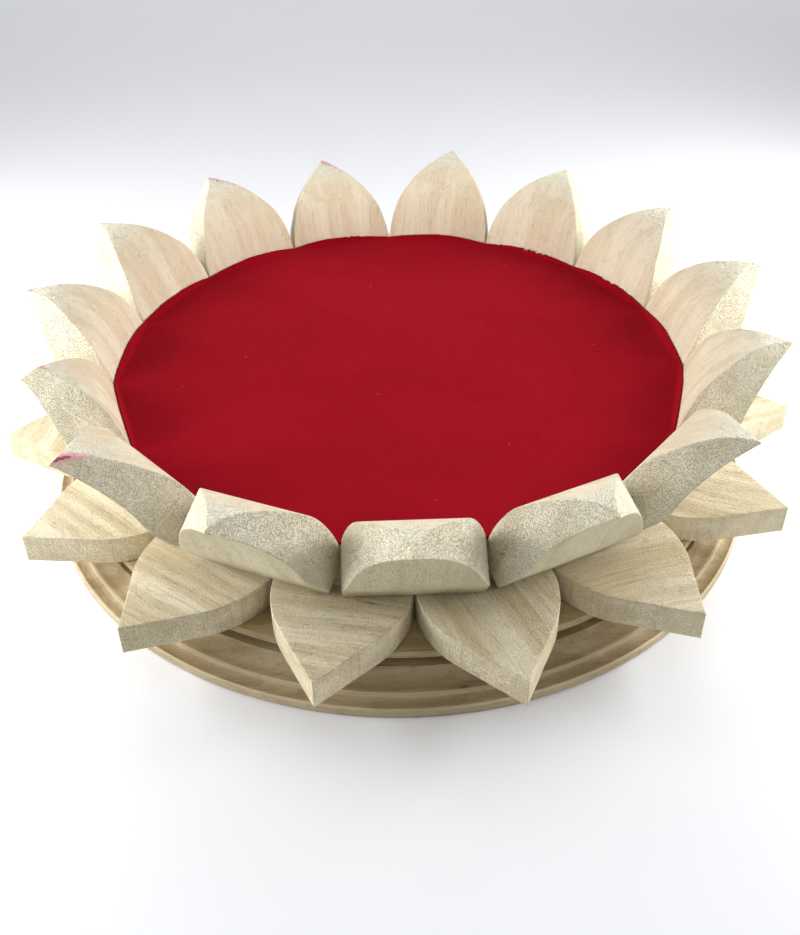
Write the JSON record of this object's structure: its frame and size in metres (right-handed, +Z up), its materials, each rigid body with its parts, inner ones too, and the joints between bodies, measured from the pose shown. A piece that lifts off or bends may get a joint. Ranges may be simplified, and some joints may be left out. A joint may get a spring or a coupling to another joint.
{
  "type": "offering plate",
  "caption": "Round wooden offering plate shaped as an open lotus: flared petals stand round a red velvet seat, flat petals spread below them on a low turned foot.",
  "frame": {"origin": "centre of the foot's underside, on the surface the plate stands on", "axes": "+Z up along the axis the foot is turned on; -Y towards upper petal 01, the front; +X to the right seen from the front"},
  "size_m": [0.2531, 0.2513, 0.0639],
  "materials": {
    "foot_wood": "bare turned pale wood, browner in the cove and groove",
    "spacer_wood": "bare sawn pale wood",
    "seat_wood": "bare sawn pale wood",
    "lower_petal_wood": "bare sanded pale wood with open pores and rough sawn edges",
    "upper_petal_wood": "bare pale wood, smooth on the inner faces and rough sawn on the edges",
    "dowel_wood": "bare pale wood",
    "velvet": "matte short-pile velvet",
    "steel": "bright zinc plate"
  },
  "bodies": {
    "root": {"turned_foot": "foot_wood", "spacer_disc": "spacer_wood", "seat_board": "seat_wood", "velvet_cover": "velvet", "lower_petal_01": "lower_petal_wood", "lower_petal_02": "lower_petal_wood", "lower_petal_03": "lower_petal_wood", "lower_petal_04": "lower_petal_wood", "lower_petal_05": "lower_petal_wood", "lower_petal_06": "lower_petal_wood", "lower_petal_07": "lower_petal_wood", "lower_petal_08": "lower_petal_wood", "lower_petal_09": "lower_petal_wood", "lower_petal_10": "lower_petal_wood", "lower_petal_11": "lower_petal_wood", "lower_petal_12": "lower_petal_wood", "lower_petal_13": "lower_petal_wood", "lower_petal_14": "lower_petal_wood", "lower_petal_15": "lower_petal_wood", "upper_petal_01": "upper_petal_wood", "upper_petal_02": "upper_petal_wood", "upper_petal_03": "upper_petal_wood", "upper_petal_04": "upper_petal_wood", "upper_petal_05": "upper_petal_wood", "upper_petal_06": "upper_petal_wood", "upper_petal_07": "upper_petal_wood", "upper_petal_08": "upper_petal_wood", "upper_petal_09": "upper_petal_wood", "upper_petal_10": "upper_petal_wood", "upper_petal_11": "upper_petal_wood", "upper_petal_12": "upper_petal_wood", "upper_petal_13": "upper_petal_wood", "upper_petal_14": "upper_petal_wood", "upper_petal_15": "upper_petal_wood", "petal_brads": "steel", "petal_dowels": "dowel_wood", "base_screws": "steel"}
  },
  "joints": []
}
